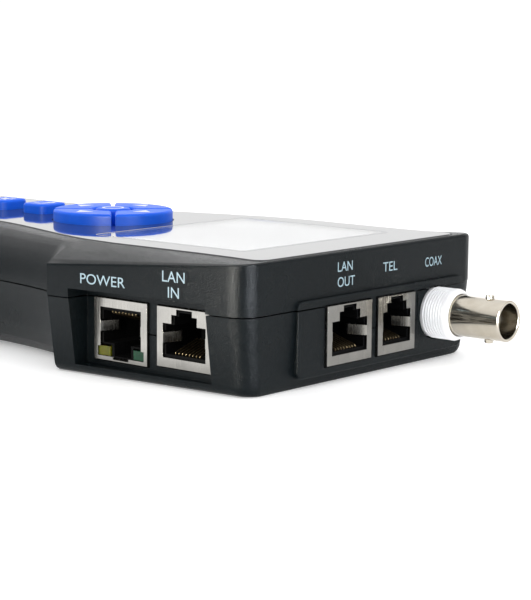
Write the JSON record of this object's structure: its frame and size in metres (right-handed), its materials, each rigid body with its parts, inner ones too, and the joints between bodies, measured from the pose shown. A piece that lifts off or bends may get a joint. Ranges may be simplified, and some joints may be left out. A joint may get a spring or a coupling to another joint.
{
  "type": "network cable tester",
  "caption": "Handheld network cable tester with a screen window, round keypad, modular jacks in its end and side, and a coaxial connector.",
  "frame": {"origin": "centre of the bounding box's underside, where the case lies on a table", "axes": "+Z out of the face with the keys, +Y along the case towards the connector end, +X to the side with the two recessed jacks"},
  "size_m": [0.0932, 0.2072, 0.0322],
  "materials": {
    "case": "spark-textured dark grey ABS",
    "plate": "polished dark acrylic with a printed border",
    "display": "unlit display glass in a bright tray",
    "key_rubber": "satin blue silicone rubber",
    "board": "green circuit board",
    "battery": "silver-grey wrapped cell pack",
    "black_plastic": "black moulded nylon",
    "white_plastic": "white moulded nylon",
    "nickel": "polished nickel plating",
    "jack_steel": "bright tinned sheet steel",
    "gold": "gold-flashed contact metal",
    "screw_steel": "dark zinc-plated steel",
    "yellow_light": "clear yellow light pipe",
    "green_light": "clear green light pipe"
  },
  "bodies": {
    "case": {"upper_housing": "case", "lower_housing": "case", "face_plate": "plate", "display_module": "display", "keypad_mat": "key_rubber", "keypad_board": "board", "main_board": "board", "battery_pack": "battery", "buzzer": "black_plastic", "bnc_barrel": "white_plastic", "bnc_shell": "nickel", "bnc_insulator": "white_plastic", "bnc_contact": "gold", "yellow_light": "yellow_light", "green_light": "green_light", "main_jack_shield": "jack_steel", "main_jack_insert": "black_plastic", "main_jack_contacts": "gold", "phone_jack_shield": "jack_steel", "phone_jack_insert": "black_plastic", "phone_jack_contacts": "gold", "scan_jack_shield": "jack_steel", "scan_jack_insert": "black_plastic", "scan_jack_contacts": "gold", "poe_jack_shield": "jack_steel", "poe_jack_insert": "black_plastic", "poe_jack_contacts": "gold", "case_screw_1": "screw_steel", "case_screw_2": "screw_steel", "case_screw_3": "screw_steel", "case_screw_4": "screw_steel", "case_screw_5": "screw_steel", "case_screw_6": "screw_steel"},
    "key_up": {"key_up": "key_rubber"},
    "key_down": {"key_down": "key_rubber"},
    "key_left": {"key_left": "key_rubber"},
    "key_right": {"key_right": "key_rubber"},
    "key_ok": {"key_ok": "key_rubber"},
    "key_back": {"key_back": "key_rubber"},
    "key_light": {"key_light": "key_rubber"},
    "key_power": {"key_power": "key_rubber"},
    "battery_door": {"battery_door": "case"}
  },
  "joints": [
    {"name": "key_up_press", "type": "slide", "parent": "case", "child": "key_up", "axis": [0, 0, -1], "range_m": [0, 0.0008], "stiffness_N_per_m": 400},
    {"name": "key_down_press", "type": "slide", "parent": "case", "child": "key_down", "axis": [0, 0, -1], "range_m": [0, 0.0008], "stiffness_N_per_m": 400},
    {"name": "key_left_press", "type": "slide", "parent": "case", "child": "key_left", "axis": [0, 0, -1], "range_m": [0, 0.0008], "stiffness_N_per_m": 400},
    {"name": "key_right_press", "type": "slide", "parent": "case", "child": "key_right", "axis": [0, 0, -1], "range_m": [0, 0.0008], "stiffness_N_per_m": 400},
    {"name": "key_ok_press", "type": "slide", "parent": "case", "child": "key_ok", "axis": [0, 0, -1], "range_m": [0, 0.0008], "stiffness_N_per_m": 400},
    {"name": "key_back_press", "type": "slide", "parent": "case", "child": "key_back", "axis": [0, 0, -1], "range_m": [0, 0.0008], "stiffness_N_per_m": 400},
    {"name": "key_light_press", "type": "slide", "parent": "case", "child": "key_light", "axis": [0, 0, -1], "range_m": [0, 0.0008], "stiffness_N_per_m": 400},
    {"name": "key_power_press", "type": "slide", "parent": "case", "child": "key_power", "axis": [0, 0, -1], "range_m": [0, 0.0008], "stiffness_N_per_m": 400},
    {"name": "battery_door_lift", "type": "slide", "parent": "case", "child": "battery_door", "axis": [0, 0, -1], "range_m": [0, 0.03]}
  ]
}
